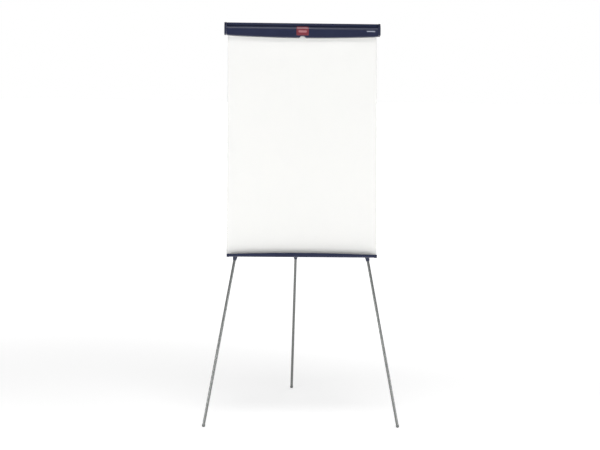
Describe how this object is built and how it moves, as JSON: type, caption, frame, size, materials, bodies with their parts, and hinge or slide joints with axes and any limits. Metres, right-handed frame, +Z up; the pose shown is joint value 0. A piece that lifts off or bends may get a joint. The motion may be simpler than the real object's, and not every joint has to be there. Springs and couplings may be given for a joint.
{
  "type": "flipchart easel",
  "caption": "Tripod flipchart easel: a leaning drywipe board with a sprung pad clamp, sliding pad hooks, a pen tray and folding, telescopic legs with twist locks.",
  "frame": {"origin": "on the floor, at the centre of the rectangle around the three feet", "axes": "+Z up, +X to the right seen from the front of the board, -Y towards the person who writes on the board"},
  "size_m": [0.8808, 1.065, 1.7982],
  "materials": {
    "navy_plastic": "fine matt grain",
    "navy_metal": "satin navy lacquer",
    "grey_lacquer": "satin grey lacquer",
    "grey_tube": "satin silver-grey lacquer on drawn steel tube",
    "zinc": "zinc plated",
    "white_enamel": "smooth gloss drywipe enamel",
    "white_trim": "smooth",
    "fibreboard": "raw",
    "grey_laminate": "smooth",
    "grey_plastic": "smooth",
    "grey_rubber": "matt",
    "red_plastic": "gloss"
  },
  "bodies": {
    "board": {"writing_sheet": "white_enamel", "board_core": "fibreboard", "backing_sheet": "grey_laminate", "side_trim_left": "white_trim", "side_trim_right": "white_trim", "bottom_trim": "white_trim", "clamp_rail": "navy_metal", "rail_end_cap_left": "navy_plastic", "rail_end_cap_right": "navy_plastic", "hinge_rod": "zinc", "jaw_spring_left": "zinc", "jaw_spring_right": "zinc", "pen_tray": "navy_metal", "tray_end_cap_left": "navy_plastic", "tray_end_cap_right": "navy_plastic", "tray_screw_left": "zinc", "tray_screw_right": "zinc", "head_plate": "grey_lacquer", "rear_hinge_bracket": "grey_lacquer", "rear_hinge_pin": "zinc", "pivot_bolt_left": "zinc", "pivot_bolt_right": "zinc", "head_screw_1": "zinc", "head_screw_2": "zinc", "head_screw_3": "zinc", "head_screw_4": "zinc", "leg_guide_left": "grey_lacquer", "leg_guide_right": "grey_lacquer", "guide_screw_left_inner": "zinc", "guide_screw_left_outer": "zinc", "guide_screw_right_inner": "zinc", "guide_screw_right_outer": "zinc", "rear_leg_rest": "navy_plastic"},
    "jaw": {"clamp_jaw": "navy_metal", "jaw_grip_strip_left": "grey_rubber", "jaw_grip_strip_right": "grey_rubber", "badge_plate": "red_plastic"},
    "hook_left": {"pad_hook_left": "navy_plastic"},
    "hook_right": {"pad_hook_right": "navy_plastic"},
    "leg_left_upper": {"leg_left_hinge_block": "navy_plastic", "leg_left_outer_tube": "grey_tube", "leg_left_lock_sleeve": "grey_plastic"},
    "leg_left_collar": {"leg_left_lock_collar": "navy_plastic"},
    "leg_left_lower": {"leg_left_inner_tube": "grey_tube", "leg_left_slide_bush": "grey_plastic", "leg_left_foot": "grey_rubber"},
    "leg_right_upper": {"leg_right_hinge_block": "navy_plastic", "leg_right_outer_tube": "grey_tube", "leg_right_lock_sleeve": "grey_plastic"},
    "leg_right_collar": {"leg_right_lock_collar": "navy_plastic"},
    "leg_right_lower": {"leg_right_inner_tube": "grey_tube", "leg_right_slide_bush": "grey_plastic", "leg_right_foot": "grey_rubber"},
    "leg_rear_upper": {"leg_rear_hinge_block": "navy_plastic", "leg_rear_outer_tube": "grey_tube", "leg_rear_lock_sleeve": "grey_plastic"},
    "leg_rear_collar": {"leg_rear_lock_collar": "navy_plastic"},
    "leg_rear_lower": {"leg_rear_inner_tube": "grey_tube", "leg_rear_slide_bush": "grey_plastic", "leg_rear_foot": "grey_rubber"}
  },
  "joints": [
    {"name": "jaw_open", "type": "hinge", "parent": "board", "child": "jaw", "pos_m": [0, -0.23734, 1.77308], "axis": [-1, 0, 0], "range_deg": [0, 35], "stiffness_Nm_per_rad": 1.2, "springref_deg": -20.05, "deforming": ["jaw_spring_left", "jaw_spring_right"]},
    {"name": "hook_left_slide", "type": "slide", "parent": "board", "child": "hook_left", "axis": [1, 0, 0], "range_m": [-0.035, 0.12]},
    {"name": "hook_right_slide", "type": "slide", "parent": "board", "child": "hook_right", "axis": [-1, 0, 0], "range_m": [-0.035, 0.12]},
    {"name": "leg_left_splay", "type": "hinge", "parent": "board", "child": "leg_left_upper", "pos_m": [-0.1306, -0.22179, 1.65839], "axis": [0, -0.9836, 0.1805], "range_deg": [0, 10.2]},
    {"name": "leg_right_splay", "type": "hinge", "parent": "board", "child": "leg_right_upper", "pos_m": [0.1306, -0.22179, 1.65839], "axis": [0, 0.9836, -0.1805], "range_deg": [0, 10.2]},
    {"name": "leg_rear_fold", "type": "hinge", "parent": "board", "child": "leg_rear_upper", "pos_m": [0, -0.20998, 1.65622], "axis": [-1, 0, 0], "range_deg": [0, 34.39]},
    {"name": "leg_left_twist_lock", "type": "hinge", "parent": "leg_left_upper", "child": "leg_left_collar", "pos_m": [-0.29464, -0.3863, 0.76201], "axis": [0.1772, 0.1777, 0.968], "range_deg": [0, 90]},
    {"name": "leg_left_telescope", "type": "slide", "parent": "leg_left_upper", "child": "leg_left_lower", "axis": [0.1772, 0.1777, 0.968], "range_m": [0, 0.7]},
    {"name": "leg_right_twist_lock", "type": "hinge", "parent": "leg_right_upper", "child": "leg_right_collar", "pos_m": [0.29464, -0.3863, 0.76201], "axis": [-0.1772, 0.1777, 0.968], "range_deg": [0, 90]},
    {"name": "leg_right_telescope", "type": "slide", "parent": "leg_right_upper", "child": "leg_right_lower", "axis": [-0.1772, 0.1777, 0.968], "range_m": [0, 0.7]},
    {"name": "leg_rear_twist_lock", "type": "hinge", "parent": "leg_rear_upper", "child": "leg_rear_collar", "pos_m": [0, 0.21321, 0.70622], "axis": [0, -0.4069, 0.9135], "range_deg": [0, 90]},
    {"name": "leg_rear_telescope", "type": "slide", "parent": "leg_rear_upper", "child": "leg_rear_lower", "axis": [0, -0.4069, 0.9135], "range_m": [0, 0.7]}
  ]
}
